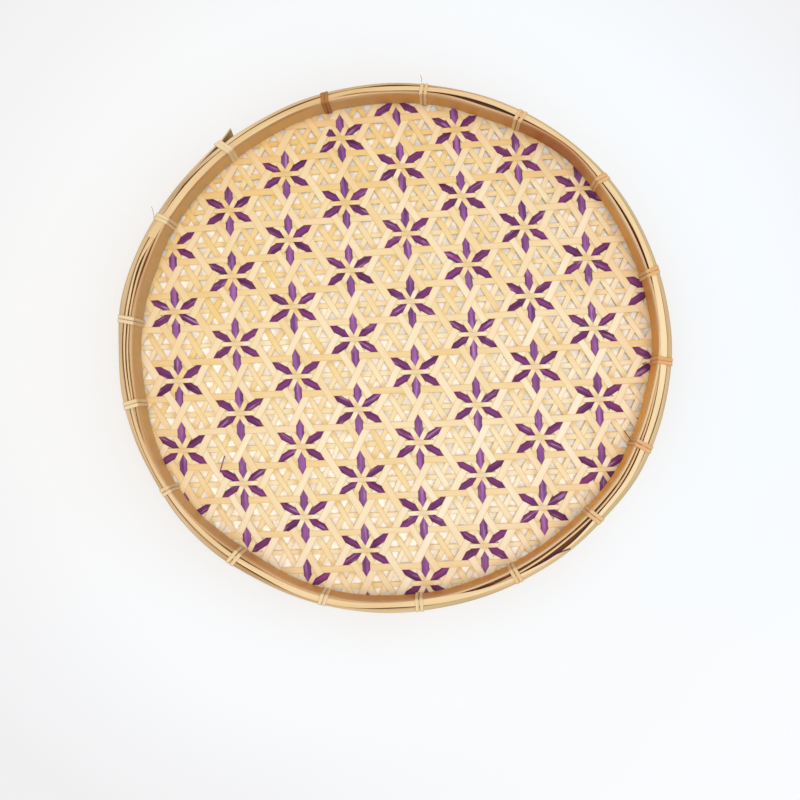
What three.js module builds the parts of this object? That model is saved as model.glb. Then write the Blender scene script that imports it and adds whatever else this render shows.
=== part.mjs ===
// A shallow oval wall basket of split bamboo: a flat openwork mat of straight splints in six directions
// and nine layers, clamped at its edge between two hoops that are bound together by seventeen ties.
// Millimetres. The basket lies on its back: +Z is the open side, +Y is up when it hangs on a wall.

import * as THREE from 'three';

// Rim
const TRAY_WIDTH = 400; // over the outer hoop, along X
const TRAY_HEIGHT = 382; // over the outer hoop, along Y
const RIM_DEPTH = 29; // from the top of the mat to the top of the hoops
const OUTER_HOOP_WALL = 3;
const FILLER_WALL = 1.5;
const FILLER_DROP = 1.5; // from the top of the hoops down to the filler
const EDGE_WALL = 1.2; // splint ends that are turned up between the hoops
const EDGE_DROP = 4; // from the top of the hoops down to those ends
const INNER_HOOP_WALL = 2;
const HOOP_CLEARANCE = 0.3;

// Lapped ends of the outer hoop
const LAP_LENGTH = 70;
const LAP_TIP = 0.6; // thickness of the end that is tucked inside
const LAP_GAP = 0.3;
const TAIL_LENGTH = 12; // the end that is left standing off
const TAIL_WALL = 1.4;
const TAIL_LEAN = 12; // degrees outwards from the hoop's own direction

// Mat
const SPLINT_THICKNESS = 0.35;
const SPLINT_CLEARANCE = 0.05; // between two layers
const WIDE_SPLINT_WIDTH = 5.3;
const FINE_SPLINT_WIDTH = 3.5;
const DYED_SPLINT_WIDTH = 5.6;
const WEAVE_PITCH = 26; // between wide splints of one direction
const FLOWER_X = 15; // the flower nearest to the middle
const FLOWER_Y = -16.5;
const EDGE_MARGIN = 1.2; // material left between a tie's slot and the openings of the mat
const LEAST_GAP = 1; // a narrower opening beside the rim is left closed

// Ties: two turns of a flat strip each
const TIE_WIDTH = 2.2;
const TIE_THICKNESS = 0.8;
const TIE_PITCH = 3; // between the two turns
const TIE_CLEARANCE = 0.5; // to the hoops' faces
const TIE_SEAT = 0.3; // to the hoops' edges
const TIE_BEND = 1; // radius of the strip's middle at a corner
const TIE_SLOT_CLEARANCE = 0.4; // round the strip where it passes the mat
const TIE_TUCK = 1.5; // from the hoops' lower edge up to where the strip starts and ends
const TIE_ANGLES = [
  80, 58, 35.7, 13, 353.7, 334.9, 316.3, 294.6, 272.1, 250.8, 229.3, 208.7, 188.7, 170.5, 147.3, 126.1, 102,
]; // degrees, counter-clockwise from +X, as the hand that tied them left them
const LAP_TIE = 15; // place in that list of the tie that holds the lapped ends

// Steps
const OVAL_STEPS = 60;
const BEND_STEPS = 3;

// Finish
const ROUGHNESS = 0.6;
const HOOP_COLOUR = 0xc99b5c;
const FILLER_COLOUR = 0xe3c38d;
const WIDE_COLOUR = 0xf0dca6;
const FINE_COLOUR = 0xe3c877;
const DYED_COLOUR = 0x5f2f78;
const TIE_COLOUR = 0xdcb67e;

// Places worked out from the sizes. An inset is measured from the outer hoop's face towards the middle.
const FILLER_INSET = OUTER_HOOP_WALL + HOOP_CLEARANCE;
const EDGE_INSET = FILLER_INSET + FILLER_WALL + HOOP_CLEARANCE;
const INNER_HOOP_INSET = EDGE_INSET + EDGE_WALL + HOOP_CLEARANCE;
const WALL_INSET = INNER_HOOP_INSET + INNER_HOOP_WALL;
const SLOT_OUTER_INSET = WALL_INSET + TIE_CLEARANCE - TIE_SLOT_CLEARANCE;
const SLOT_INNER_INSET = WALL_INSET + TIE_CLEARANCE + TIE_THICKNESS + TIE_SLOT_CLEARANCE;
const MAT_INSET = SLOT_INNER_INSET + EDGE_MARGIN;
const TURN_WIDTH = TIE_PITCH + TIE_WIDTH;

const HOOP_BOTTOM = TIE_THICKNESS + TIE_SEAT;
const LAYER_PITCH = SPLINT_THICKNESS + SPLINT_CLEARANCE;
const LAYERS = { dyed: 0, fine: 3, wide: 6 };
const LAYER_COUNT = 9;
const MAT_TOP = HOOP_BOTTOM + LAYER_COUNT * LAYER_PITCH;
const RIM_TOP = MAT_TOP + RIM_DEPTH;
const DYED_PITCH = WEAVE_PITCH * Math.sqrt(3);
const MEAN_RADIUS = (TRAY_WIDTH + TRAY_HEIGHT) / 4;

const toRadians = THREE.MathUtils.degToRad;

function semiAxes(inset) {
  return { a: TRAY_WIDTH / 2 - inset, b: TRAY_HEIGHT / 2 - inset };
}

// A point of the oval that lies inset from the outer face, at the oval's own angle
function ovalPoint(inset, angle) {
  const { a, b } = semiAxes(inset);
  return new THREE.Vector2(a * Math.cos(angle), b * Math.sin(angle));
}

function ovalPoints(inset) {
  const points = [];
  for (let step = 0; step < OVAL_STEPS; step += 1) {
    points.push(ovalPoint(inset, (2 * Math.PI * step) / OVAL_STEPS));
  }
  return points;
}

// Points of the oval between two angles, counter-clockwise, at the steps that all the rings share
function ovalArc(inset, from, to) {
  const step = (2 * Math.PI) / OVAL_STEPS;
  const spare = step / 5;
  const end = to > from ? to : to + 2 * Math.PI;
  const points = [];
  for (let angle = Math.ceil((from + spare) / step) * step; angle < end - spare; angle += step) {
    points.push(ovalPoint(inset, angle));
  }
  return points;
}

function outwardAngle(angle) {
  const { a, b } = semiAxes(0);
  return Math.atan2(a * Math.sin(angle), b * Math.cos(angle));
}

// The oval's own angle at which the direction from the middle is the given one
function ovalAngle(degrees) {
  const { a, b } = semiAxes(0);
  return Math.atan2(a * Math.sin(toRadians(degrees)), b * Math.cos(toRadians(degrees)));
}

function plate(shape, thickness) {
  return new THREE.ExtrudeGeometry(shape, { depth: thickness, bevelEnabled: false });
}

function piece(name, geometry, colour, bottom = 0) {
  const material = new THREE.MeshStandardMaterial({ color: colour, roughness: ROUGHNESS, metalness: 0 });
  const mesh = new THREE.Mesh(geometry, material);
  mesh.name = name;
  mesh.position.z = bottom;
  return mesh;
}

// Rim: hoops and what they clamp

function ringPiece(name, outerInset, wall, top, colour) {
  const shape = new THREE.Shape(ovalPoints(outerInset));
  shape.holes.push(new THREE.Path(ovalPoints(outerInset + wall)));
  const bottom = MAT_TOP;
  return piece(name, plate(shape, top - bottom), colour, bottom);
}

// The outer hoop is one strip whose tapered ends pass each other. The inner end is tucked in, and the
// outer end leaves the hoop just past a tie as a pointed tail.
function outerHoopShape() {
  const tieAngle = ovalAngle(TIE_ANGLES[LAP_TIE]);
  const tailAngle = tieAngle - (TURN_WIDTH / 2 + TIE_SLOT_CLEARANCE) / MEAN_RADIUS;
  const tipAngle = tailAngle + LAP_LENGTH / MEAN_RADIUS;
  const shoulderAngle = tailAngle - (TAIL_LENGTH + LAP_GAP) / MEAN_RADIUS;
  const slitAngle = tipAngle + LAP_GAP / MEAN_RADIUS;
  const tuckInset = OUTER_HOOP_WALL - LAP_TIP;
  const tailDirection = outwardAngle(tailAngle) - Math.PI / 2 + toRadians(TAIL_LEAN);
  const tailTip = ovalPoint(TAIL_WALL / 2, tailAngle);
  tailTip.x += TAIL_LENGTH * Math.cos(tailDirection);
  tailTip.y += TAIL_LENGTH * Math.sin(tailDirection);

  const outerFace = ovalArc(0, tailAngle, shoulderAngle + 2 * Math.PI);
  const innerFace = ovalArc(OUTER_HOOP_WALL, slitAngle, tipAngle + 2 * Math.PI);
  return new THREE.Shape([
    ovalPoint(0, tailAngle),
    ...outerFace,
    ovalPoint(0, shoulderAngle),
    ovalPoint(TAIL_WALL + LAP_GAP, shoulderAngle),
    ...lapLine(TAIL_WALL + LAP_GAP, tuckInset, tailAngle, tipAngle),
    ovalPoint(OUTER_HOOP_WALL, tipAngle),
    ...innerFace.reverse(),
    ovalPoint(OUTER_HOOP_WALL, slitAngle),
    ...lapLine(TAIL_WALL, tuckInset - LAP_GAP, tailAngle, slitAngle).reverse(),
    tailTip,
  ]);
}

// The slanted line along which the two lapped ends face each other
function lapLine(insetAtTail, insetAtTip, tailAngle, tipAngle) {
  const points = [];
  const steps = Math.ceil((LAP_LENGTH / MEAN_RADIUS) * (OVAL_STEPS / (2 * Math.PI)));
  for (let step = 0; step <= steps; step += 1) {
    const share = step / steps;
    const inset = insetAtTail + share * (insetAtTip - insetAtTail);
    points.push(ovalPoint(inset, tailAngle + share * (tipAngle - tailAngle)));
  }
  return points;
}

function makeRim() {
  const rim = new THREE.Group();
  rim.add(piece('outer_hoop', plate(outerHoopShape(), RIM_TOP - HOOP_BOTTOM), HOOP_COLOUR, HOOP_BOTTOM));
  rim.add(ringPiece('filler_splint', FILLER_INSET, FILLER_WALL, RIM_TOP - FILLER_DROP, FILLER_COLOUR));
  rim.add(ringPiece('turned_up_edge', EDGE_INSET, EDGE_WALL, RIM_TOP - EDGE_DROP, WIDE_COLOUR));
  rim.add(ringPiece('inner_hoop', INNER_HOOP_INSET, INNER_HOOP_WALL, RIM_TOP, HOOP_COLOUR));
  return rim;
}

// Mat: straight splints. A line of direction d lies at an offset along d turned left by a quarter.

function lineFrame(degrees) {
  const along = new THREE.Vector2(Math.cos(toRadians(degrees)), Math.sin(toRadians(degrees)));
  return { along, across: new THREE.Vector2(-along.y, along.x) };
}

// How far the oval reaches to either side along the frame's across direction
function reachAcross(frame, inset) {
  const { a, b } = semiAxes(inset);
  return Math.hypot(a * frame.across.x, b * frame.across.y);
}

// The two points where a line meets the oval, the one behind first
function chord(frame, offset, inset) {
  const { along, across } = frame;
  const { a, b } = semiAxes(inset);
  const square = (along.x / a) ** 2 + (along.y / b) ** 2;
  const middle = offset * ((across.x * along.x) / a ** 2 + (across.y * along.y) / b ** 2);
  const rest = offset ** 2 * ((across.x / a) ** 2 + (across.y / b) ** 2) - 1;
  const spread = Math.sqrt(middle ** 2 - square * rest);
  return [-1, 1].map((side) => {
    const run = (side * spread - middle) / square;
    return across.clone().multiplyScalar(offset).addScaledVector(along, run);
  });
}

// Offsets of the splints of one direction that lie wholly on the mat, in rising order
function splintOffsets(frame, pitch, phase, width, inset) {
  const reach = reachAcross(frame, inset) - width / 2 - LEAST_GAP;
  const start = frame.across.x * FLOWER_X + frame.across.y * FLOWER_Y + phase * pitch;
  const offsets = [];
  for (let count = Math.ceil((-reach - start) / pitch); start + count * pitch <= reach; count += 1) {
    offsets.push(start + count * pitch);
  }
  return offsets;
}

function angleOn(inset, point) {
  const { a, b } = semiAxes(inset);
  return Math.atan2(point.y / b, point.x / a);
}

// The opening between two lines of one direction, or between one line and the rim
function openingPath(frame, low, high) {
  const corners = [];
  if (low !== null) {
    corners.push(...chord(frame, low, MAT_INSET));
  }
  if (high !== null) {
    corners.push(...chord(frame, high, MAT_INSET).reverse());
  }
  const points = [];
  corners.forEach((corner, index) => {
    const next = corners[(index + 1) % corners.length];
    points.push(corner);
    const alongLine = (low !== null && index === 0) || (high !== null && index === corners.length - 2);
    if (!alongLine) {
      points.push(...ovalArc(MAT_INSET, angleOn(MAT_INSET, corner), angleOn(MAT_INSET, next)));
    }
  });
  return new THREE.Path(points);
}

// The slot through which both turns of one tie pass the mat's edge
function slotPath(degrees) {
  const angle = ovalAngle(degrees);
  const outward = outwardAngle(angle);
  const foot = ovalPoint(0, angle);
  const half = TURN_WIDTH / 2 + TIE_SLOT_CLEARANCE;
  const corners = [
    [SLOT_OUTER_INSET, half],
    [SLOT_INNER_INSET, half],
    [SLOT_INNER_INSET, -half],
    [SLOT_OUTER_INSET, -half],
  ];
  return new THREE.Path(corners.map(([inset, side]) => new THREE.Vector2(
    foot.x - inset * Math.cos(outward) - side * Math.sin(outward),
    foot.y - inset * Math.sin(outward) + side * Math.cos(outward),
  )));
}

// All splints of one direction, joined at their ends by the edge that the hoops clamp
function splintSheet(degrees, width, phase) {
  const frame = lineFrame(degrees);
  const offsets = splintOffsets(frame, WEAVE_PITCH, phase, width, MAT_INSET);
  const shape = new THREE.Shape(ovalPoints(FILLER_INSET));
  offsets.forEach((offset, index) => {
    const before = index === 0 ? null : offsets[index - 1] + width / 2;
    shape.holes.push(openingPath(frame, before, offset - width / 2));
  });
  shape.holes.push(openingPath(frame, offsets[offsets.length - 1] + width / 2, null));
  TIE_ANGLES.forEach((tieDegrees) => shape.holes.push(slotPath(tieDegrees)));
  return plate(shape, SPLINT_THICKNESS);
}

// One dyed splint, which ends under the mat's edge just short of the ties
function dyedSplint(frame, offset) {
  const sides = [offset - DYED_SPLINT_WIDTH / 2, offset + DYED_SPLINT_WIDTH / 2];
  const [low, high] = sides.map((side) => chord(frame, side, MAT_INSET - EDGE_MARGIN / 2));
  return plate(new THREE.Shape([low[0], low[1], high[1], high[0]]), SPLINT_THICKNESS);
}

function layerBottom(layer) {
  return HOOP_BOTTOM + layer * LAYER_PITCH;
}

function makeMat() {
  const mat = new THREE.Group();
  const directions = [['across', 0], ['rising', 60], ['falling', 120]];
  directions.forEach(([word, degrees], order) => {
    const wide = splintSheet(degrees, WIDE_SPLINT_WIDTH, 0.5);
    mat.add(piece(`wide_splints_${word}`, wide, WIDE_COLOUR, layerBottom(LAYERS.wide + order)));
    const fine = splintSheet(degrees, FINE_SPLINT_WIDTH, 0);
    mat.add(piece(`fine_splints_${word}`, fine, FINE_COLOUR, layerBottom(LAYERS.fine + order)));
  });
  const dyedDirections = [['upright', 90], ['rising', 30], ['falling', 150]];
  dyedDirections.forEach(([word, degrees], order) => {
    const frame = lineFrame(degrees);
    const offsets = splintOffsets(frame, DYED_PITCH, 0, DYED_SPLINT_WIDTH, MAT_INSET);
    offsets.forEach((offset, index) => {
      const name = `dyed_splint_${word}_${index + 1}`;
      mat.add(piece(name, dyedSplint(frame, offset), DYED_COLOUR, layerBottom(LAYERS.dyed + order)));
    });
  });
  return mat;
}

// Ties: x points out of the rim, y runs along it, and the strip keeps its width along y.

function tieRoute() {
  const innerLeg = -(WALL_INSET + TIE_CLEARANCE + TIE_THICKNESS / 2);
  const outerLeg = TIE_CLEARANCE + TIE_THICKNESS / 2;
  const under = TIE_THICKNESS / 2;
  const over = RIM_TOP + TIE_SEAT + TIE_THICKNESS / 2;
  const tuck = HOOP_BOTTOM + TIE_TUCK;
  const first = -TIE_PITCH / 2;
  const second = TIE_PITCH / 2;
  return [
    { x: innerLeg, y: first, z: tuck },
    ...bend(innerLeg, over, first, 180),
    ...bend(outerLeg, over, first, 90),
    ...bend(outerLeg, under, first, 0),
    ...bend(innerLeg, under, second, 270),
    ...bend(innerLeg, over, second, 180),
    ...bend(outerLeg, over, second, 90),
    { x: outerLeg, y: second, z: tuck },
  ];
}

// A quarter turn, clockwise from the start direction, inside the corner at x and z
function bend(x, z, y, startDegrees) {
  const middleDegrees = toRadians(startDegrees - 45);
  const middleX = x - Math.sign(Math.cos(middleDegrees)) * TIE_BEND;
  const middleZ = z - Math.sign(Math.sin(middleDegrees)) * TIE_BEND;
  const points = [];
  for (let step = 0; step <= BEND_STEPS; step += 1) {
    const angle = toRadians(startDegrees - (90 * step) / BEND_STEPS);
    points.push({ x: middleX + TIE_BEND * Math.cos(angle), y, z: middleZ + TIE_BEND * Math.sin(angle) });
  }
  return points;
}

// The four corners of the flat strip at each point of its route
function tieSections(route) {
  return route.map((point, index) => {
    const before = route[Math.max(index - 1, 0)];
    const after = route[Math.min(index + 1, route.length - 1)];
    const length = Math.hypot(after.x - before.x, after.z - before.z);
    const outX = (-(after.z - before.z) / length) * (TIE_THICKNESS / 2);
    const outZ = ((after.x - before.x) / length) * (TIE_THICKNESS / 2);
    const half = TIE_WIDTH / 2;
    return [
      new THREE.Vector3(point.x + outX, point.y - half, point.z + outZ),
      new THREE.Vector3(point.x + outX, point.y + half, point.z + outZ),
      new THREE.Vector3(point.x - outX, point.y + half, point.z - outZ),
      new THREE.Vector3(point.x - outX, point.y - half, point.z - outZ),
    ];
  });
}

function tieGeometry(sections) {
  const sides = sections[0].length;
  const triangles = [];
  for (let ring = 0; ring + 1 < sections.length; ring += 1) {
    for (let side = 0; side < sides; side += 1) {
      const here = ring * sides + side;
      const beside = ring * sides + ((side + 1) % sides);
      triangles.push(here, here + sides, beside, beside, here + sides, beside + sides);
    }
  }
  const last = (sections.length - 1) * sides;
  triangles.push(0, 1, 2, 0, 2, 3);
  triangles.push(last, last + 2, last + 1, last, last + 3, last + 2);
  const geometry = new THREE.BufferGeometry().setFromPoints(sections.flat());
  geometry.setIndex(triangles);
  return geometry;
}

// Least distance between points of the strip's edges that lie more than a rim's depth apart along it
function leastGap(sections, route) {
  const samples = [];
  const perRun = 12;
  let travelled = 0;
  for (let ring = 0; ring + 1 < sections.length; ring += 1) {
    const from = new THREE.Vector3().copy(route[ring]);
    const run = from.distanceTo(route[ring + 1]);
    for (let count = 0; count < perRun; count += 1) {
      const share = count / perRun;
      sections[ring].forEach((corner, side) => {
        const point = corner.clone().lerp(sections[ring + 1][side], share);
        samples.push({ point, place: travelled + share * run });
      });
    }
    travelled += run;
  }
  let least = Infinity;
  samples.forEach((one, index) => {
    samples.slice(index + 1).forEach((other) => {
      if (other.place - one.place > RIM_DEPTH) {
        least = Math.min(least, one.point.distanceTo(other.point));
      }
    });
  });
  return least;
}

function makeTies() {
  const ties = new THREE.Group();
  const route = tieRoute();
  const sections = tieSections(route);
  console.log(`least gap between the turns of a tie: ${leastGap(sections, route).toFixed(2)} mm`);
  TIE_ANGLES.forEach((degrees, index) => {
    const angle = ovalAngle(degrees);
    const foot = ovalPoint(0, angle);
    const tie = piece(`tie_${String(index + 1).padStart(2, '0')}`, tieGeometry(sections), TIE_COLOUR);
    tie.position.set(foot.x, foot.y, 0);
    tie.rotation.z = outwardAngle(angle);
    ties.add(tie);
  });
  return ties;
}

const basket = new THREE.Group();
basket.add(makeRim(), makeMat(), makeTies());

export default basket;
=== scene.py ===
"""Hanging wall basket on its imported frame: a flower weave of bamboo splints held between two bent hoops."""

import math
import random
from collections import namedtuple

import bmesh
import bpy
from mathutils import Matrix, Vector, noise


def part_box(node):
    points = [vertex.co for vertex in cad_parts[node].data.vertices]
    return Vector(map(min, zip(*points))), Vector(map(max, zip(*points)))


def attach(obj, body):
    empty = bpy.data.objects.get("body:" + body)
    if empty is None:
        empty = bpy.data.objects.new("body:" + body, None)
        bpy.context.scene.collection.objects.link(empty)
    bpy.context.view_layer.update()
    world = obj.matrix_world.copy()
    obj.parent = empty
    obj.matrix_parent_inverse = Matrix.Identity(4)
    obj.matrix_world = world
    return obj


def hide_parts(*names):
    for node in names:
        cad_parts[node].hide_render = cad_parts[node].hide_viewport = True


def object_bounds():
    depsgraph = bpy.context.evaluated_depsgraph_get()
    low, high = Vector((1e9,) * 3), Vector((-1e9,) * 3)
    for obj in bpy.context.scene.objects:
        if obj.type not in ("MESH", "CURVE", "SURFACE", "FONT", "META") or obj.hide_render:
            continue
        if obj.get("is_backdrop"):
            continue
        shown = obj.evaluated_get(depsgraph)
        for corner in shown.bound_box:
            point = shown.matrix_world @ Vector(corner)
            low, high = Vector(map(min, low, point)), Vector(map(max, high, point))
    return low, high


bl_info = {
    "name": "Hanging wall basket",
    "version": (1, 0, 0),
    "blender": (4, 5, 0),
    "location": "View3D > Sidebar > Basket",
    "description": "Weaves, bends and ties the bamboo of a flower-weave tray on its packed frame",
    "category": "Object",
}

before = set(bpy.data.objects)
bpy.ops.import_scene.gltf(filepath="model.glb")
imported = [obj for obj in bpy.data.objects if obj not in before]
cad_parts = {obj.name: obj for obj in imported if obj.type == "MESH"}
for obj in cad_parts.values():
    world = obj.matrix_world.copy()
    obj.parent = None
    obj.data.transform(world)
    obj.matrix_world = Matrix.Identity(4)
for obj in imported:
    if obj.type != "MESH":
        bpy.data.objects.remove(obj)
FRAME_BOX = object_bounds()

MM = 0.001
FULL_TURN = 2 * math.pi
BODY = "root"
UP = Vector((0, 0, 1))

# Sizes that the frame gives.
OUTER_LOW, OUTER_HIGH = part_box("outer_hoop")
INNER_LOW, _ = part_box("inner_hoop")
HALF_WIDTH, HALF_HEIGHT = OUTER_HIGH.x, OUTER_HIGH.y
HOOP_BOTTOM, RIM_TOP = OUTER_LOW.z, OUTER_HIGH.z
MAT_TOP = INNER_LOW.z
MAT_MIDDLE = (HOOP_BOTTOM + MAT_TOP) / 2


def nodes_of(group):
    """The names of the frame's nodes that begin with a group's name, in order."""
    found = sorted(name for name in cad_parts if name.startswith(group))
    if not found:
        raise RuntimeError(f"the frame has no node that begins with {group}")
    return found


def node_middle(node):
    low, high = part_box(node)
    return (low + high) / 2


def turn_of(spot):
    """The turn round the tray's oval at which a spot lies."""
    return math.atan2(spot.y / HALF_HEIGHT, spot.x / HALF_WIDTH)


TIE_NODES = nodes_of("tie_")
TIE_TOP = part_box(TIE_NODES[0])[1].z
TIE_TURNS = [turn_of(node_middle(node)) for node in TIE_NODES]
UPRIGHT_LINES = sorted(node_middle(node).x for node in nodes_of("dyed_splint_upright"))
DYED_STEP = (UPRIGHT_LINES[-1] - UPRIGHT_LINES[0]) / (len(UPRIGHT_LINES) - 1)
WEAVE_PITCH = DYED_STEP / math.sqrt(3)
# The middle flower is on the upright line nearest the tray's middle, a little below it.
FLOWER_RISE = -16.5 * MM
FLOWER = Vector((min(UPRIGHT_LINES, key=abs), FLOWER_RISE))

# The camera stands where the photo was taken: over the tray, a little low, to the right and turned.
CAMERA_FOOT = (26.0 * MM, -43.0 * MM)
CAMERA_HEIGHT = 0.900
CAMERA_ROLL = math.radians(-3.5)
CAMERA_LENS = 53.92
CAMERA_SHIFT = (-0.0419, 0.0061)

# The weave: directions in degrees, and how the layers stack above the mat's middle.
PLAIN_WAYS = {"across": 0, "rising": 60, "falling": 120}
DYED_WAYS = {"upright": 90, "rising": 30, "falling": 150}
WIDE_LEVEL = 0.2 * MM
WIDE_DIP = 0.45 * MM
DIP_REACH = 7 * MM
STAR_LEVELS = {0: -0.42 * MM, 60: -0.16 * MM, 120: 0.1 * MM}
FLOWER_LEVELS = {0: 0.36 * MM, 60: 0.1 * MM, 120: -0.16 * MM}
FINE_UNDER = -0.2 * MM
DYED_FLOWER_LEVELS = {90: -0.42 * MM, 30: -0.68 * MM, 150: -0.94 * MM}
DYED_OVER = 0.16 * MM
DYED_UNDER = -0.48 * MM
PETAL_FLAT = 3.0 * MM
PETAL_REACH = 5.6 * MM

# By direction: each kind's share of its full width, and the range that its splints' tones are drawn from.
WIDE_SHARES = {0: 0.92, 60: 1.03, 120: 1.07}
FINE_SHARES = {0: 0.95, 60: 1.03, 120: 1.03}
DYED_SHARES = {90: 1.0, 30: 0.95, 150: 0.95}
WIDE_TONES = {0: (-0.6, 0.3), 60: (0.4, 1.0), 120: (0.0, 0.9)}
FINE_TONES = {0: (0.25, 1.2), 60: (0.35, 1.3), 120: (0.35, 1.3)}
# How much single splints differ in width and place, and the seeds that draw this.
PLAIN_WIDTHS = (0.94, 1.06)
DYED_WIDTHS = (0.96, 1.04)
LINE_WANDER = 0.4 * MM
WIDE_SEED, FINE_SEED, DYED_SEED = 100, 200, 300
# Arcs of the edge, in degrees round the photo, where dyed splints stop this far (mm) short of the bend.
SHORT_ARCS = ((108, 130, 9.0), (130, 136, 5.0), (146, 160, 2.5))
# The hand-made weave's drift off its pattern: the factors of a cubic in x and y, both counted in this span.
DRIFT_SPAN = 150 * MM
DRIFT_X = [value * MM for value in (-0.72, -2.10, -0.11, 1.09, -1.90, -1.35, 0.72, -0.55, -2.11, 0.02)]
DRIFT_Y = [value * MM for value in (-0.36, -3.11, 1.25, 0.36, 2.35, -2.66, 0.31, -0.70, 2.13, -1.74)]
# Painted light: splints are painted lighter towards the lower right of the mat and darker towards the upper
# left.
# Fine ones are broader and deeper in tone at the stars, take painted shade at a flower's core and a painted
# shadow where they go under a crossing.
PAINTED_LIGHT_LEAN = 0.45
MAT_PAINTED_LIT_SIDE = Vector((0.6, -0.8))
STAR_BREADTH = 0.22
STAR_TONE = -0.35
CORE_START, CORE_REACH = 0.93, 0.05
CORE_PAINTED_SHADE = 0.45
UNDER_START, UNDER_REACH = 0.52, 0.3
UNDER_PAINTED_SHADOW = 0.6
# How a splint's course and breadth wander along it: waves per metre, their layers of the noise, and the span
# in which each splint has a place of its own.
SWAY_RATE, BREADTH_RATE = 17, 18
SWAY_LAYER, BREADTH_LAYER = 0, 7
NOISE_SPAN = 500
BREADTH_CHANGE = 0.14
# A splint's mesh: its steps, and the crown and shoulders of its section.
SPLINT_STEP = 2.3 * MM
LEAST_STEPS = 12
SPLINT_CROWN = 0.03 * MM
SPLINT_SHOULDER = 0.8
# The edge: how far inside the bend a line has to run, how far its ends climb the rim, how an end is found by
# halving, and the bend itself.
LEAST_REACH = 1.5 * MM
END_RISE = (21 * MM, 27.5 * MM)
FARTHEST_END = 1.5 * HALF_WIDTH
HALVINGS = 24
BEND_RADIUS = 2 * MM
BEND_SPACE = 0.7 * MM
WALL_SQUEEZE = 0.6

# The rim: how far in (mm) from the tray's oval its lines lie, every ten degrees round the photo. They
# are the rim's outer edge, the outer hoop's inner edge, the cap's two edges, the inner hoop's inner edge
# and the filler's outer edge.
RIM_ROWS = (
    (-1.2, 2.0, 2.3, 7.1, 8.1, 5.0), (-0.3, 2.6, 2.9, 7.2, 8.6, 5.0), (-0.1, 2.4, 2.4, 6.0, 8.9, 4.0),
    (-0.7, 1.6, 1.6, 5.0, 8.2, 3.0), (-1.3, 0.6, 0.6, 4.4, 6.6, 2.2), (-1.4, -0.1, -0.1, 2.2, 4.3, 0.4),
    (-1.5, -0.2, -0.2, 3.4, 5.7, 1.2), (-1.3, 0.1, 0.1, 3.4, 7.4, 1.2), (-0.6, 0.9, 0.9, 3.8, 6.4, 1.8),
    (-0.7, 0.8, 2.0, 5.2, 6.9, 3.0), (0.1, 1.9, 2.1, 5.0, 7.0, 2.9), (0.4, 2.4, 3.4, 6.9, 7.1, 4.6),
    (1.5, 3.7, 4.3, 8.2, 8.2, 5.2), (1.2, 4.3, 4.7, 8.7, 8.7, 5.4), (0.7, 4.3, 4.6, 9.3, 9.3, 6.0),
    (0.4, 4.2, 4.5, 9.1, 9.4, 6.2), (-0.3, 2.6, 3.3, 4.8, 10.6, 5.5), (-1.1, 2.9, 3.8, 5.5, 10.0, 6.0),
    (0.7, 3.2, 4.2, 5.4, 10.1, 5.9), (0.1, 3.5, 4.5, 6.0, 10.2, 6.1), (0.2, 2.9, 3.4, 6.0, 8.0, 4.1),
    (0.2, 2.5, 2.9, 5.5, 6.1, 3.4), (-1.6, 1.4, 2.0, 5.2, 5.9, 3.2), (-2.0, 1.5, 2.0, 5.4, 7.8, 5.6),
    (-1.0, 1.7, 2.6, 6.2, 8.2, 6.3), (-1.2, 0.6, 0.7, 5.0, 6.2, 3.0), (-1.0, 0.8, 0.9, 5.0, 6.3, 3.0),
    (-0.9, 2.4, 3.2, 6.8, 7.5, 4.8), (0.0, 3.2, 3.3, 8.0, 8.3, 5.8), (0.0, 3.0, 3.0, 6.0, 9.8, 4.2),
    (0.1, 2.9, 2.9, 4.7, 10.8, 5.8), (-0.3, 2.0, 2.0, 3.4, 11.2, 6.6), (-0.3, 2.5, 2.5, 5.2, 10.7, 5.8),
    (-2.1, 1.3, 1.3, 4.6, 9.6, 5.2), (-1.7, 1.7, 2.4, 6.2, 10.4, 6.4), (-1.1, 1.9, 2.4, 6.5, 10.0, 6.6),
)
RIM_COLUMNS = ("edge", "line", "cap_out", "cap_in", "inner", "filler")
RIM_SAMPLES = 720
HOOP_STEPS = 720

# The outer hoop's ends: the tie that holds them, counted from 0, the tail before it and the lap past it.
LAP_TIE = 15
LAP_TURN = TIE_TURNS[LAP_TIE]
TAIL_TURN = math.radians(2.0)
TAIL_SLANT = math.radians(0.9)
TAIL_FLARE = 1.0 * MM
TAIL_LEAN = 2.8 * MM
TAIL_REACH = math.radians(5.5)
LAP_LENGTH = math.radians(20)
LAP_WALL = 1.0 * MM
LAP_TUCK = (0.5 * MM, 0.9 * MM)
LAP_THINNING = 0.6
OUTER_SWELL = 0.2 * MM

# The flat cap, which starts with a squared end, and the levels of what lies between the hoops.
CAP_START = math.radians(151.0)
CAP_SWEEP = math.radians(362)
CAP_END = (2.1 * MM, 7.8 * MM)
CAP_END_REACH = math.radians(7)
CAP_SINK = 1.0 * MM
CAP_SINK_REACH = 3 * CAP_END_REACH
CAP_TOP = RIM_TOP + 0.25 * MM
CAP_BOTTOM = RIM_TOP - 0.6 * MM
FILLER_TOP = RIM_TOP - 1.5 * MM
BED_TOP = RIM_TOP - 3.2 * MM
BED_BOTTOM = RIM_TOP - 7 * MM
BED_SLOPE = 1.0 * MM
BED_LAP = 1.0 * MM
INNER_HOOP_TOP = RIM_TOP - 0.35 * MM

# Sections of the strips: rows of faces up a side and over the top, where a rounded edge's middle lies, and
# how far the outer and the inner edge are rounded.
STRIP_ROWS, CAP_ROWS, TOP_ROWS = 5, 1, 5
ROUND_MIDDLE = 0.3
OUTER_ROUNDING = (0.8 * MM, 0.2 * MM)
FILLER_ROUNDING = (0.3 * MM, 0.3 * MM)
BED_ROUNDING = (0.2 * MM, 0.2 * MM)
INNER_ROUNDING = (0.3 * MM, 0.5 * MM)
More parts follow.
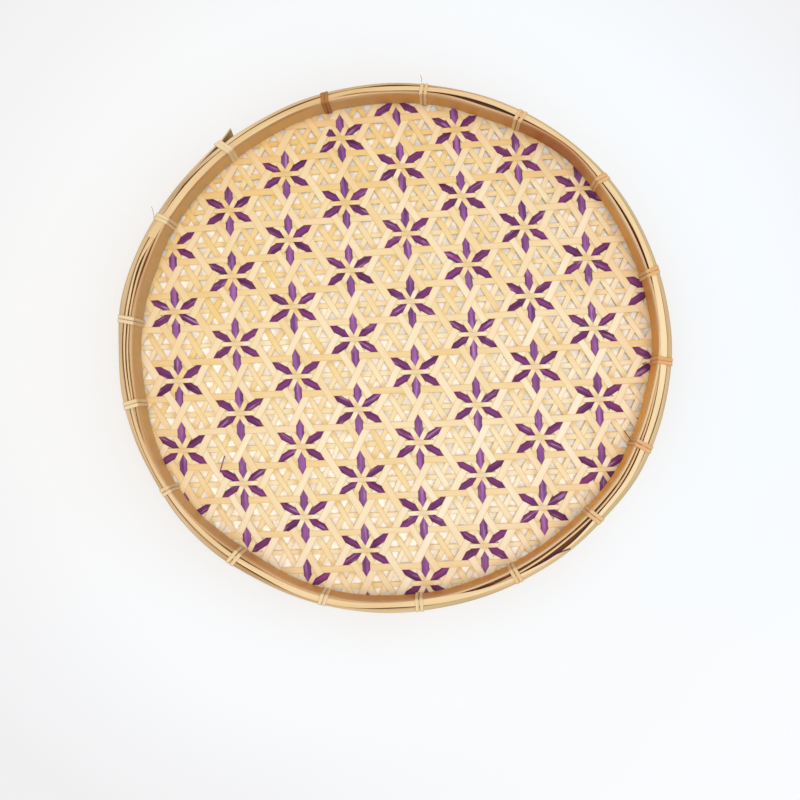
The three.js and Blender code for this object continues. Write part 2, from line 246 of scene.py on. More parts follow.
# Small wanders of the strips round the rim: how far, how often, and a seed. The inner hoop's lower edge is
# ragged only where its wave is higher than a least height.
OUTER_WAVE = (0.5 * MM, 4, 11)
FILLER_WAVE = (0.8 * MM, 5, 23)
CAP_EDGE_WAVE = (0.3 * MM, 6, 31)
CAP_TOP_WAVE = (0.3 * MM, 4, 33)
INNER_WAVE = (0.4 * MM, 5, 43)
RAGGED_WAVE = (3.5 * MM, 40, 41)
RAGGED_LEAST = 0.35 * MM
# The strips' tones: the tail's is painted light and the bed's painted shade. A pair is a middle tone and how
# far it changes towards the rim's lit side, as painted light.
OUTER_TONE, TAIL_PAINTED_LIGHT_TONE, FILLER_TONE, BED_PAINTED_SHADE_TONE = 0.25, 1.3, 0.2, 0.0
CAP_TONE = (0.6, 0.4)
INNER_TONE = (0.58, 0.5)
RIM_PAINTED_LIT_SIDE = math.radians(-22)
# Red-brown places on the inner hoop, and stains and dull places on the other strips: photo angle and reach in
# degrees, and strength, below 0 where paler.
INNER_RED_BROWN = (
    (53, 13, 0.9), (14, 13, 0.4), (78, 14, 0.25), (95, 10, 0.2),
    (234, 10, 0.45), (272, 20, 0.5), (304, 14, 0.3),
)
OUTER_STAINS = ((48, 26, 1.0), (326, 14, 0.8), (283, 8, 0.5))
CAP_STAINS = ((104, 18, 0.9),)
OUTER_DULL = (
    (62, 34, 0.4), (124, 12, -0.1), (150, 12, 0.3), (182, 14, -0.1), (232, 24, 0.6), (325, 20, -0.3),
)

# The ties' courses: rounded corners, steps, clearances as shares of a strip's thickness, the tucked end, and
# how much of the slant is left at the bottom.
TIE_SAMPLES = 5
TIE_CORNER = 1.5 * MM
TIE_STEP = 2.5 * MM
TIE_CLEARANCE, TIE_OUTER_CLEARANCE = 0.6, 0.5
TIE_END = 4 * MM
LEAST_SLANT = 0.4
# Each tie: strip width, spacing on the rim and on the inner face, slant and shift (mm), and how golden it is.
TIE_LOOKS = (
    (2.6, 3.2, 3.0, 0.6, 0.0, 0.40), (2.8, 3.7, 3.1, 1.1, 0.0, 0.45), (2.8, 3.0, 2.9, 2.0, 0.0, 0.70),
    (2.8, 3.1, 3.0, -0.8, 0.0, 0.72), (2.8, 2.9, 2.8, 1.2, 0.0, 0.85), (2.8, 3.1, 3.1, 1.0, 0.0, 0.72),
    (2.8, 3.1, 3.0, -1.2, 0.0, 0.55), (2.8, 3.2, 3.1, -0.8, 0.0, 0.42), (2.5, 3.2, 3.2, 0.1, 0.0, 0.05),
    (2.7, 3.1, 2.9, 0.7, 0.0, 0.10), (2.8, 3.5, 2.9, 1.0, 0.0, 0.15), (2.6, 3.2, 2.6, 0.5, 0.0, 0.15),
    (2.8, 3.0, 3.0, -0.6, 0.0, 0.10), (2.7, 3.0, 2.9, 0.7, 0.0, 0.10), (2.7, 2.7, 3.4, -1.3, 0.0, 0.10),
    (3.0, 2.8, 2.9, -4.1, 1.9, 0.05), (2.7, 2.8, 2.8, 1.3, 0.0, 0.6),
)
# The one brown tie, counted from 0.
BROWN_TIE = 16

# Loose ends: photo angle, inset (mm) and height over the rim (mm) of each point, and the strip's width (mm).
LOOSE_DYED_ENDS = (
    (((304, 4.6, -3.0), (305.5, 4.4, -1.2), (307, 4.0, 0.0), (308.6, 2.8, 0.9), (310, 1.0, 1.0)), 0.9),
    (((301.5, 4.6, -3.6), (304, 4.2, -2.8), (306, 4.0, -2.7), (308, 3.9, -3.4)), 0.6),
    (((213.4, 47.6, -29.4), (214.2, 45.4, -27.4), (215.8, 40.0, -27.2), (216.6, 37.4, -28.6)), 0.8),
)
LOOSE_FIBRES = (
    (((150.3, 0.4, 1.2), (149.4, -2.0, 1.6), (148.6, -5.5, 1.0)), 0.35),
    (((84.6, -1.5, 1.2), (84.4, -3.5, 1.8), (84.9, -6.5, 1.4)), 0.35),
    (((337.6, 11.6, -14.0), (338.4, 13.4, -24.0), (339.4, 17.0, -28.4)), 1.1),
    (((356.6, 9.8, -16.0), (356.8, 12.6, -27.5), (356.2, 15.0, -28.2)), 0.8),
)

# How a loose end's corners are rounded, its steps, how far its flat side tilts, and its tone.
LOOSE_CORNER = 3 * MM
LOOSE_SAMPLES = 3
LOOSE_STEP = 1.5 * MM
LOOSE_TILT = 0.3
LOOSE_TONE = 0.5

# Meshes: the half size of the grid that each strip starts from, and a flat strip's shoulders and crown.
UNIT_HALF = 0.5
MERGE_REACH = 1e-6
SHARP_ANGLE = math.radians(42)
FLAT_SHOULDER, FLAT_CROWN = 0.75, 1.2

# The map that fibres follow. Each strand has its own row on it, shifted along and across from the one before.
MAP_NAME = "strand"
MAP_SHIFT = 7.3
MAP_ROW = 0.05
HOOP_ROW, FILLER_ROW, CAP_ROW, BED_ROW = 0, 0, 3, 5

# Bamboo: the noise that makes fibres and blotches, the fibres' relief, and how often both repeat in a metre.
FIBRE_GROUP = "bamboo_fibres"
FIBRE_INPUTS = ("Along", "Across", "Blotch along", "Blotch across")
FIBRE_DETAIL = {"Fibre": 4, "Blotch": 2}
NOISE_RANGE = (0.3, 0.7)
RELIEF = 0.15 * MM
SPLINT_REPEATS = (30, 2000, 25, 120)
DYED_REPEATS = (25, 480, 55, 520)
EDGE_REPEATS = (14, 900, 14, 90)
TIE_REPEATS = (30, 1500, 60, 200)
# How much of the tone is a strand's own, its fibres' and its blotches'.
SPLINT_SHARES = (0.5, 0.3, 0.3)
EDGE_SHARES = (0.3, 0.4, 0.4)
# Pale flecks, partly painted highlights along the fibres: from which blotch on a strand is flecked, where it
# is most so, and the fleck's share at the two.
FLECKS_AND_HIGHLIGHTS = (0.72, 1.0, 0.0, 0.6)
# The sockets of a Mix node that mixes colours.
MIX_COLOURS, MIX_RESULT = (6, 7), 2

# What the camera adds to the pale surface, painting light and shade on it: beside the basket at the left,
# warmer as a painted shadow, and at the right; through its openings at the lower left and the upper right,
# less as painted shade under the weave; the same in patches of painted light; more below the basket, as
# painted light; and less in the far corners, as painted shade.
LIFT_BESIDE_PAINTED_SHADOW = ((0.40, 0.325, 0.23, 1), (0.39, 0.36, 0.31, 1))
LIFT_THROUGH_PAINTED_SHADE = ((0.18, 0.12, 0.04, 1), (0.0, 0.0, 0.0, 1))
LIFT_PAINTED_LIGHT_PATCH = ((0.44, 0.38, 0.31, 1), (0.24, 0.19, 0.14, 1))
LIFT_BELOW_PAINTED_LIGHT = (0.41, 0.355, 0.285, 1)
LIFT_FAR_PAINTED_SHADE = (0.33, 0.25, 0.17, 1)
# Where these change, in half widths and half heights from the tray's middle, two of them along a diagonal.
ACROSS_RANGE = (-1.4, 1.4)
BELOW_RANGE = (-0.5, -1.3)
FAR_RANGE = (1.4, 2.1)
LOWER_RIGHT, LOWER_RIGHT_RANGE = (0.7, -0.7, 0), (1.8, 0.8)
UPPER_RIGHT, UPPER_RIGHT_RANGE = (0.7, 0.7, 0), (-0.8, 0.6)
OPEN_RANGE = (0.93, 1.0)
PATCH_RATE = 130
PATCH_RANGE = (0.44, 0.6)
SURFACE_SIZE = 3
SURFACE_ROUGHNESS, SURFACE_GLOSS = 0.9, 0.1
# The room is white, lights the basket softly and looks bright to the camera.
WHITE = (1, 1, 1, 1)
SKY_STRENGTH, SKY_SEEN = 0.60, 1
# The window's light comes from the right, almost straight down.
SUN_STRENGTH = 1.32
SUN_ANGLE = math.radians(26)
SUN_TURN = (math.radians(5), 0, math.radians(75))


def screen(red, green, blue):
    """A colour read off a screen, 0 to 255, as the linear values that shaders use."""
    shares = [value / 255 for value in (red, green, blue)]
    return tuple(v / 12.92 if v <= 0.04045 else ((v + 0.055) / 1.055) ** 2.4 for v in shares) + (1.0,)


def colour_property(name, description, red, green, blue):
    return bpy.props.FloatVectorProperty(
        name=name, description=description, subtype="COLOR", size=4, min=0, max=1,
        default=screen(red, green, blue))


def length_property(name, description, default):
    return bpy.props.FloatProperty(
        name=name, description=description, subtype="DISTANCE", unit="LENGTH", min=0, default=default)


class BasketSizes(bpy.types.PropertyGroup):
    """Sizes of the basket's bamboo"""

    wide_width: length_property("Wide splint", "Width of the pale splints in pairs", 5.3 * MM)
    fine_width: length_property("Fine splint", "Width of the straw splints between the pairs", 3.5 * MM)
    dyed_width: length_property("Dyed splint", "Width of the purple splints", 5.6 * MM)
    splint_thickness: length_property("Splint thickness", "Thickness of every splint", 0.24 * MM)
    weave_height: length_property("Weave height", "Rise and dip of a wide splint at a crossing", 0.14 * MM)
    wide_sway: length_property("Wide sway", "How far a wide splint wanders to either side", 0.9 * MM)
    fine_sway: length_property("Fine sway", "How far a fine splint wanders between the flowers", 1.4 * MM)
    outer_wall: length_property("Outer hoop wall", "Thickness of the outer hoop before it is bent", 2.3 * MM)
    inner_wall: length_property("Inner hoop wall", "Thickness of the inner hoop", 1.7 * MM)
    filler_wall: length_property("Filler wall", "Thickness of the thin strip between the hoops", 1.4 * MM)
    cap_width: length_property("Cap width", "Width of the flat strip before it is bent", 4.2 * MM)
    tie_thickness: length_property("Tie thickness", "Thickness of a tie's strip", 0.7 * MM)


class BasketColours(bpy.types.PropertyGroup):
    """Colours of the basket's bamboo"""

    wide_light: colour_property("Wide, light", "Pale side of the wide splints", 255, 243, 216)
    wide_dark: colour_property("Wide, dark", "Deeper streaks of the wide splints", 244, 208, 141)
    # Painted shade along the wide splints' edges.
    wide_edge_painted_shade: colour_property("Wide, edge", "Cut edges of the wide splints", 226, 190, 136)
    fine_light: colour_property("Fine, light", "Pale side of the fine splints", 255, 243, 214)
    fine_dark: colour_property("Fine, dark", "Deeper streaks of the fine splints", 244, 203, 114)
    # Painted shade along the fine splints' edges, at a flower's core and under crossings.
    fine_edge_painted_shade: colour_property("Fine, edge", "Cut edges of the fine splints", 218, 178, 108)
    # Upright dyed splints are lighter than slanted ones: a painted sheen, as their fibres catch the light.
    upright_light: colour_property("Upright dye, light", "Light streaks of upright splints", 182, 112, 186)
    upright_dark: colour_property("Upright dye, dark", "Depth of the upright dyed splints", 80, 26, 90)
    slanted_light: colour_property("Slanted dye, light", "Light streaks of slanted splints", 150, 68, 138)
    slanted_dark: colour_property("Slanted dye, dark", "Depth of the slanted dyed splints", 62, 8, 50)
    # Painted shade towards the dyed splints' edges.
    dyed_edge_painted_shade: colour_property("Dye, edge", "Edges of the dyed splints", 62, 18, 64)
    # Pale streaks: partly painted highlights along the dyed fibres and partly thin dye.
    dyed_fleck_and_highlight: colour_property("Dye, fleck", "Pale streaks where the dye is thin", 206, 164, 206)
    hoop_light: colour_property("Hoop, light", "Pale streaks on the hoops' faces", 236, 186, 116)
    hoop_dark: colour_property("Hoop, dark", "Deeper streaks on the hoops' faces", 188, 122, 54)
    # The inner face's colours; its tone mixes them as painted light, golden on the lit side and dull away
    # from it.
    inner_light: colour_property("Inner face, light", "Golden side of the inner hoop's face", 248, 176, 70)
    inner_dark: colour_property("Inner face, dark", "Dull side of the inner hoop's face", 200, 178, 136)
    # Red-brown mixed into the inner hoop at the places listed round the rim.
    hoop_red_brown: colour_property("Hoop stain", "Red-brown stains on the inner hoop", 170, 84, 32)
    skin_stain: colour_property("Skin stain", "Grey-green skin left on the outer hoop", 194, 180, 136)
    edge_dark: colour_property("Outer edge, dark", "Deeper streaks of the outer hoop's edge", 178, 132, 84)
    cut_light: colour_property("Cut edge, light", "Pale cut edges of the rim's strips", 250, 224, 178)
    cut_dark: colour_property("Cut edge, dark", "Deeper streaks of the cut edges", 222, 178, 118)
    # Painted shade: the gaps between the hoops and the splints' ends in them are coloured as they look in
    # shadow.
    gap_painted_shade_dark: colour_property("Gap, dark", "Depth of the gaps between the hoops", 54, 28, 18)
    gap_painted_shade_light: colour_property("Gap, light", "Splints' ends down the gaps", 130, 80, 46)
    tie_light: colour_property("Tie, light", "Pale ties", 255, 246, 206)
    tie_dark: colour_property("Tie, dark", "Golden ties", 232, 138, 22)
    # Painted shade along the ties' edges.
    tie_edge_painted_shade: colour_property("Tie, edge", "Edges of the ties' strips", 190, 130, 56)
    brown_tie_dark: colour_property("Brown tie, dark", "Depth of the one brown tie", 160, 94, 42)
    brown_tie_light: colour_property("Brown tie, light", "Light streaks of the one brown tie", 214, 156, 96)
    fibre: colour_property("Loose fibre", "Loose brown fibres", 112, 70, 34)
    # Bluish, so that with the warm lift the camera adds its shadows come out warm: a painted tint of shade.
    floor: colour_property("Floor", "The pale surface beside the basket", 194, 205, 218)
    # Warmer than the surface beside it: painted warm light bounced from the bamboo through the openings.
    floor_behind_painted_bounce: colour_property("Floor behind", "The pale surface seen through the weave", 252, 243, 230)


def curve(values, place):
    """A smooth curve through evenly spaced values that meets itself; place counts values."""
    first = math.floor(place)
    share = place - first
    a, b, c, d = (values[(first + step) % len(values)] for step in (-1, 0, 1, 2))
    return b + share / 2 * (c - a + share * (2 * a - 5 * b + 4 * c - d + share * (3 * (b - c) + d - a)))


def rim_samples(column):
    values = [row[column] * MM for row in RIM_ROWS]
    return [curve(values, sample * len(values) / RIM_SAMPLES) for sample in range(RIM_SAMPLES)]


RIM = {name: rim_samples(column) for column, name in enumerate(RIM_COLUMNS)}


def photo_angle(turn):
    """The angle in the photo of a turn round the tray."""
    return turn - CAMERA_ROLL


def rim(name, turn):
    """How far in from the tray's oval one of the rim's lines lies."""
    values = RIM[name]
    place = photo_angle(turn) % FULL_TURN / FULL_TURN * RIM_SAMPLES
    first = int(place)
    low, high = values[first % RIM_SAMPLES], values[(first + 1) % RIM_SAMPLES]
    return low + (high - low) * (place - first)


def oval(inset, turn):
    """A point of the rim's oval, moved in from its outer face."""
    return Vector(((HALF_WIDTH - inset) * math.cos(turn), (HALF_HEIGHT - inset) * math.sin(turn), 0))


def outward(turn):
    """The direction that points straight out of the rim."""
    return Vector((math.cos(turn) / HALF_WIDTH, math.sin(turn) / HALF_HEIGHT, 0)).normalized()


def ripple(turn, wave):
    """A smooth wander round the rim that meets itself, about half the wave's size to either side."""
    size, rate, seed = wave
    return size * noise.noise((math.cos(turn) * rate, math.sin(turn) * rate, seed))


def ease(share):
    """A share held between 0 and 1 and slowed at both."""
    share = min(max(share, 0.0), 1.0)
    return share * share * (3 - 2 * share)


def blend(first, second, share):
    return first + (second - first) * share


def patch_depth(turn, stains):
    """How deeply a place on a strip takes a listed colour change, 1 at most, and below 0 where it is paler.
    """
    angle = math.degrees(photo_angle(turn))
    deep = sum(strength * math.exp(-(((angle - middle + 180) % 360 - 180) / reach) ** 2)
               for middle, reach, strength in stains)
    return min(deep, 1.0)


def painted_light_tone(turn, middle, change):
    """A tone for a place on the rim, painted light: highest on the rim's lit side, lowest on the side away
    from it.
    """
    return middle + change * math.cos(turn - RIM_PAINTED_LIT_SIDE)


def heading(degrees):
    return Vector((math.cos(math.radians(degrees)), math.sin(math.radians(degrees))))


def leftward(degrees):
    return Vector((-math.sin(math.radians(degrees)), math.cos(math.radians(degrees))))


def phase(spot, degrees):
    """How many pitches a spot lies to the left of the line through the middle flower."""
    return (spot - FLOWER).dot(leftward(degrees)) / WEAVE_PITCH


def at_flower(spot):
    """1 at a flower's middle, 0 at the star-shaped openings between flowers."""
    return max(0.0, 1 + 2 * math.cos(FULL_TURN / 3 * (phase(spot, 0) - phase(spot, 120)))) / 3


def at_meeting(spot, way):
    """For a fine splint: 1 where three of them meet, 0 where it goes under a crossing of wide ones."""
    return 0.5 + 0.5 * math.cos(FULL_TURN * phase(spot, way + 60))


def wide_lift(spot, way, sizes):
    """A wide splint goes over those 60 degrees on, under the others, and dips where a petal crosses."""
    column = (spot - FLOWER).dot(leftward(way + 90)) / DYED_STEP
    from_petal = abs(column - round(column)) * DYED_STEP
    dip = WIDE_DIP * ease(1 - from_petal / DIP_REACH)
    return WIDE_LEVEL - sizes.weave_height * math.cos(FULL_TURN * phase(spot, way + 60)) - dip


def fine_lift(spot, way, sizes):
    """A fine splint goes under crossings of wide ones, and is stacked with the others where three meet."""
    level = blend(STAR_LEVELS[way], FLOWER_LEVELS[way], at_flower(spot))
    return blend(FINE_UNDER, level, at_meeting(spot, way))


def dyed_lift(spot, way, sizes):
    """A dyed splint goes over single wide ones, and under their crossings and each flower's middle."""
    square = phase(spot, way - 90)
    from_petal = abs(square - math.floor(square) - 0.5) * WEAVE_PITCH
    over = ease((PETAL_REACH - from_petal) / (PETAL_REACH - PETAL_FLAT))
    under = blend(DYED_UNDER, DYED_FLOWER_LEVELS[way], at_flower(spot))
    return blend(under, DYED_OVER, over)


def drift(spot):
    """How far the hand-made weave has wandered from its pattern at a spot."""
    x, y = spot.x / DRIFT_SPAN, spot.y / DRIFT_SPAN
    terms = (1, x, y, x * x, x * y, y * y, x ** 3, x * x * y, x * y * y, y ** 3)
    return Vector(sum(rate * term for rate, term in zip(rates, terms)) for rates in (DRIFT_X, DRIFT_Y))


def past_bend(spot, sizes):
    """How far a spot of the flat mat lies beyond the line where it bends up, and that line's own distance."""
    bend = rim("inner", turn_of(spot)) - sizes.inner_wall - BEND_SPACE + BEND_RADIUS
    reach = spot.length
    line = reach / math.hypot(spot.x / (HALF_WIDTH - bend), spot.y / (HALF_HEIGHT - bend))
    return reach - line, line


def fold_up(spot, lift, sizes):
    """Where a spot of the flat mat lands once its border is bent up between the hoops."""
    beyond, line = past_bend(spot, sizes)
    if beyond <= 0:
        return Vector((spot.x, spot.y, MAT_MIDDLE + lift))
    turn = min(beyond / BEND_RADIUS, math.pi / 2)
    lift *= 1 - WALL_SQUEEZE * turn / (math.pi / 2)
    out = (line + (BEND_RADIUS - lift) * math.sin(turn)) / (line + beyond)
    height = MAT_MIDDLE + BEND_RADIUS - (BEND_RADIUS - lift) * math.cos(turn) + beyond - turn * BEND_RADIUS
    return Vector((spot.x * out, spot.y * out, height))


def new_mesh():
    """An empty mesh with the layers that the materials read."""
    bm = bmesh.new()
    bm.loops.layers.uv.new(MAP_NAME)
    bm.faces.layers.float.new("tone")
    # The shade layer holds painted shade and light on splints, ties and the outer hoop's tail, and colour
    # changes on the hoops.
    bm.verts.layers.float.new("shade")
    return bm


def sweep(bm, steps, section, place, length, row, tone, cut_rows=(), shade=None):
    """Adds a closed strip: a grid whose rows follow the section and whose columns follow the path.

    place gives the spot of a section's point at a share of the path. The cut_rows take the second material.
    """
    around = len(section)
    map_layer = bm.loops.layers.uv[MAP_NAME]
    tone_layer = bm.faces.layers.float["tone"]
    shade_layer = bm.verts.layers.float["shade"]
    girth = sum(math.dist(section[n], section[n - 1]) for n in range(around))
    grid = bmesh.ops.create_grid(bm, x_segments=steps, y_segments=around, size=UNIT_HALF)["verts"]
    places = {vert: (vert.co.x + UNIT_HALF, round((vert.co.y + UNIT_HALF) * around)) for vert in grid}
    for face in {face for vert in grid for face in vert.link_faces}:
        face[tone_layer] = tone(places[face.verts[0]][0]) if callable(tone) else tone
        face.material_index = int(min(places[vert][1] for vert in face.verts) in cut_rows)
        for loop in face.loops:
            share, step = places[loop.vert]
            across = step / around * girth + row * MAP_ROW
            loop[map_layer].uv = (share * length + row * MAP_SHIFT, across)
    for vert, (share, step) in places.items():
        vert.co = place(share, section[step % around])
        if shade:
            vert[shade_layer] = shade(share, step % around)


def make_piece(name, bm, materials, nodes=()):
    """Closes a mesh and makes it a piece of the basket, on its body and in place of its CAD nodes."""
    bmesh.ops.remove_doubles(bm, verts=bm.verts, dist=MERGE_REACH)
    open_edges = [edge for edge in bm.edges if edge.is_boundary]
    if open_edges:
        bmesh.ops.holes_fill(bm, edges=open_edges, sides=0)
    bmesh.ops.recalc_face_normals(bm, faces=bm.faces)
    if not bm.faces:
        raise RuntimeError(f"{name} came out empty")
    mesh = bpy.data.meshes.new(name)
    bm.to_mesh(mesh)
    bm.free()
    mesh.shade_smooth()
    mesh.set_sharp_from_angle(angle=SHARP_ANGLE)
    for material in materials:
        mesh.materials.append(material)
    piece = bpy.data.objects.new(name, mesh)
    bpy.context.scene.collection.objects.link(piece)
    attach(piece, BODY)
    if nodes:
        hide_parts(*nodes)


def link(tree, source, target):
    tree.links.new(source, target)


def add_node(tree, kind, **settings):
    node = tree.nodes.new(kind)
    for name, value in settings.items():
        setattr(node, name, value)
    return node


def spread(tree, value, low, high, to_low=0.0, to_high=1.0):
    """A value's range low to high, spread to another range."""
    node = add_node(tree, "ShaderNodeMapRange")
    for label, number in (("From Min", low), ("From Max", high), ("To Min", to_low), ("To Max", to_high)):
        node.inputs[label].default_value = number
    link(tree, value, node.inputs["Value"])
    return node.outputs[0]


def stretched_noise(tree, spot, stretch, detail):
    """A noise that is drawn out along a strand; stretch is the socket with its repeats per metre."""
    scaled = add_node(tree, "ShaderNodeVectorMath", operation="MULTIPLY")
    link(tree, spot, scaled.inputs[0])
    link(tree, stretch, scaled.inputs[1])
    speckle = add_node(tree, "ShaderNodeTexNoise")
    speckle.inputs["Scale"].default_value = 1
    speckle.inputs["Detail"].default_value = detail
    link(tree, scaled.outputs[0], speckle.inputs["Vector"])
    return spread(tree, speckle.outputs[0], *NOISE_RANGE)


def fibre_group():
    """The node group for every bamboo surface: fine fibres along a strand, and slow blotches."""
    if FIBRE_GROUP in bpy.data.node_groups:
        return bpy.data.node_groups[FIBRE_GROUP]
    group = bpy.data.node_groups.new(FIBRE_GROUP, "ShaderNodeTree")
    for label, value in zip(FIBRE_INPUTS, SPLINT_REPEATS):
        socket = group.interface.new_socket(label, in_out="INPUT", socket_type="NodeSocketFloat")
        socket.default_value = value
    for label in FIBRE_DETAIL:
        group.interface.new_socket(label, in_out="OUTPUT", socket_type="NodeSocketFloat")
    given = add_node(group, "NodeGroupInput")
    result = add_node(group, "NodeGroupOutput")
    spot = add_node(group, "ShaderNodeUVMap", uv_map=MAP_NAME).outputs[0]
    for number, (label, detail) in enumerate(FIBRE_DETAIL.items()):
        stretch = add_node(group, "ShaderNodeCombineXYZ")
        for axis in range(2):
            link(group, given.outputs[2 * number + axis], stretch.inputs[axis])
        link(group, stretched_noise(group, spot, stretch.outputs[0], detail), result.inputs[label])
    return group


def weighted(tree, value, weight, plus=None):
    """value times weight, plus another value where one is given."""
    node = add_node(tree, "ShaderNodeMath", operation="MULTIPLY_ADD")
    link(tree, value, node.inputs[0])
    node.inputs[1].default_value = weight
    node.inputs[2].default_value = 0
    if plus is not None:
        link(tree, plus, node.inputs[2])
    return node.outputs[0]


def mixed(tree, share, first, second):
    """Two colours mixed; each is a socket or a plain colour."""
    node = add_node(tree, "ShaderNodeMix", data_type="RGBA")
    link(tree, share, node.inputs["Factor"])
    for index, colour in zip(MIX_COLOURS, (first, second)):
        if isinstance(colour, bpy.types.NodeSocket):
            link(tree, colour, node.inputs[index])
        else:
            node.inputs[index].default_value = colour
    return node.outputs[MIX_RESULT]


def bamboo(name, dark, light, repeats=SPLINT_REPEATS, shares=SPLINT_SHARES, rough=(0.5, 0.7), bump=0.25,
           gloss=0.2, shade_colour=None, shade_share=1.0, fleck=None):
    """A bamboo material of a dark and a light colour, with others for shades and flecks where given."""
    material = bpy.data.materials.new(name)
    material.use_nodes = True
    tree = material.node_tree
    shader = tree.nodes["Principled BSDF"]
    fibres = add_node(tree, "ShaderNodeGroup", node_tree=fibre_group())
    for label, value in zip(FIBRE_INPUTS, repeats):
        fibres.inputs[label].default_value = value
    tone = add_node(tree, "ShaderNodeAttribute", attribute_name="tone").outputs["Fac"]
    fibre, patch = fibres.outputs["Fibre"], fibres.outputs["Blotch"]
    amount = weighted(tree, tone, shares[0])
    amount = weighted(tree, fibre, shares[1], amount)
    amount = weighted(tree, patch, shares[2], amount)
    colour = mixed(tree, amount, dark, light)
    # Flecks: on the dyed splints, partly painted highlights.
    if fleck:
        colour = mixed(tree, spread(tree, patch, *FLECKS_AND_HIGHLIGHTS), colour, fleck)
    if shade_colour:
        shade = add_node(tree, "ShaderNodeAttribute", attribute_name="shade").outputs["Fac"]
        colour = mixed(tree, weighted(tree, shade, shade_share), colour, shade_colour)
    link(tree, colour, shader.inputs["Base Color"])
    shader.inputs["Specular IOR Level"].default_value = gloss
    link(tree, spread(tree, fibre, 0, 1, *rough), shader.inputs["Roughness"])
    relief = add_node(tree, "ShaderNodeBump")
    relief.inputs["Strength"].default_value = bump
    relief.inputs["Distance"].default_value = RELIEF
    link(tree, fibre, relief.inputs["Height"])
    link(tree, relief.outputs[0], shader.inputs["Normal"])
    return material


def splint_section(width, thickness):
    """A splint's cross-section: flat, sharp at its edges and a little crowned."""
    half, thick = width / 2, thickness / 2
    shoulder = half * SPLINT_SHOULDER
    return [(-half, thick - SPLINT_CROWN), (-shoulder, thick), (0, thick + SPLINT_CROWN), (shoulder, thick),
            (half, thick - SPLINT_CROWN), (half, -thick), (0, -thick), (-half, -thick)]


# How much of the edge colour, a painted shade, each point of that section takes, on plain splints and on dyed
# ones.
PLAIN_SHADES = (1.0, 0.1, 0.0, 0.1, 1.0, 1.0, 0.4, 1.0)
DYED_SHADES = (1.0, 0.35, 0.0, 0.35, 1.0, 1.0, 0.6, 1.0)


# What sets one kind of splint apart: its lift and sway, its section's painted edge shades, how much broader
# it is and how its tone changes at the stars, its painted shade at a flower's core and painted shadow under a
# crossing, and whether its ends stop short on the arcs named above.
Kind = namedtuple("Kind", "lift sway shades star_breadth star_tone core_shade under_shade short_ends",
                  defaults=(0, 0, 0, 0, False))


def splint_end(middle, way, rise, sizes):
    """How far a splint runs from its middle until it has climbed the rim by rise."""
    near, far = 0.0, FARTHEST_END
    for _ in range(HALVINGS):
        half = (near + far) / 2
        if past_bend(middle + way * half, sizes)[0] < rise:
            near = half
        else:
            far = half
    return near


def end_rise(middle, way, kind, sizes, rng):
    """How far a splint climbs the rim at one end, or stops short of it where the photo shows no dyed end."""
    rise = rng.uniform(*END_RISE)
    spot = middle + way * splint_end(middle, way, 0, sizes)
    spot = spot + drift(spot)
    angle = math.degrees(photo_angle(turn_of(spot))) % 360
    for first, last, short in SHORT_ARCS:
        if kind.short_ends and first < angle < last:
            rise = -short * MM
    return rise


def lay_splint(bm, kind, way, line, width, sizes, rng, tone, row):
    """Adds one splint to a mesh: over and under across the mat, then up the rim at both ends."""
    along, across = heading(way), leftward(way)
    middle = across * line
    ends = [splint_end(middle, along * side, end_rise(middle, along * side, kind, sizes, rng), sizes)
            for side in (-1, 1)]
    length = sum(ends)
    seed = rng.uniform(0, NOISE_SPAN)

    def run_at(share):
        return share * length - ends[0]

    def place(share, point):
        run = run_at(share)
        spot = middle + along * run
        away = 1 - at_flower(spot)
        stray = kind.sway * away * noise.noise((run * SWAY_RATE, seed, SWAY_LAYER))
        change = BREADTH_CHANGE * noise.noise((run * BREADTH_RATE, seed, BREADTH_LAYER))
        breadth = 1 + change + kind.star_breadth * away
        flat = spot + across * (point[0] * breadth + stray) + drift(spot)
        return fold_up(flat, kind.lift(spot, way, sizes) + point[1], sizes)

    # The tone carries painted light: lighter towards the lower right of the mat.
    def tone_at(share):
        spot = middle + along * run_at(share)
        return tone + PAINTED_LIGHT_LEAN * spot.dot(MAT_PAINTED_LIT_SIDE) / HALF_WIDTH + kind.star_tone * (1 - at_flower(spot))

    # Painted shade: at the section's edges, at a flower's core, and as a shadow where a fine splint goes
    # under a crossing.
    def shade(share, step):
        spot = middle + along * run_at(share)
        core = kind.core_shade * ease((at_flower(spot) - CORE_START) / CORE_REACH)
        crossing = ease((UNDER_START - at_meeting(spot, way)) / UNDER_REACH)
        return max(kind.shades[step], core, kind.under_shade * (1 - at_flower(spot)) * crossing)

    section = splint_section(width, sizes.splint_thickness)
    steps = max(LEAST_STEPS, round(length / SPLINT_STEP))
    sweep(bm, steps, section, place, length, row, tone_at, shade=shade)


def lines_across(way, first, step, sizes):
    """Distances from the tray's middle of the lines in one direction that reach the flat of the mat."""
    across = leftward(way)
    start = FLOWER.dot(across) + first
    count = math.ceil(2 * HALF_WIDTH / step)
    lines = [start + number * step for number in range(-count, count + 1)]
    return [line for line in lines if past_bend(across * line, sizes)[0] < -LEAST_REACH]


def lay_group(group, kind, way, first, width, tones, material, sizes, seed):
    """Makes one piece of all the plain splints that run in one direction."""
    rng = random.Random(seed)
    bm = new_mesh()
    for row, line in enumerate(lines_across(way, first, WEAVE_PITCH, sizes)):
        wander = rng.uniform(-LINE_WANDER, LINE_WANDER)
        tone = rng.uniform(*tones)
        breadth = width * rng.uniform(*PLAIN_WIDTHS)
        lay_splint(bm, kind, way, line + wander, breadth, sizes, rng, tone, row)
    make_piece(f"woven_{group}", bm, [material], [group])


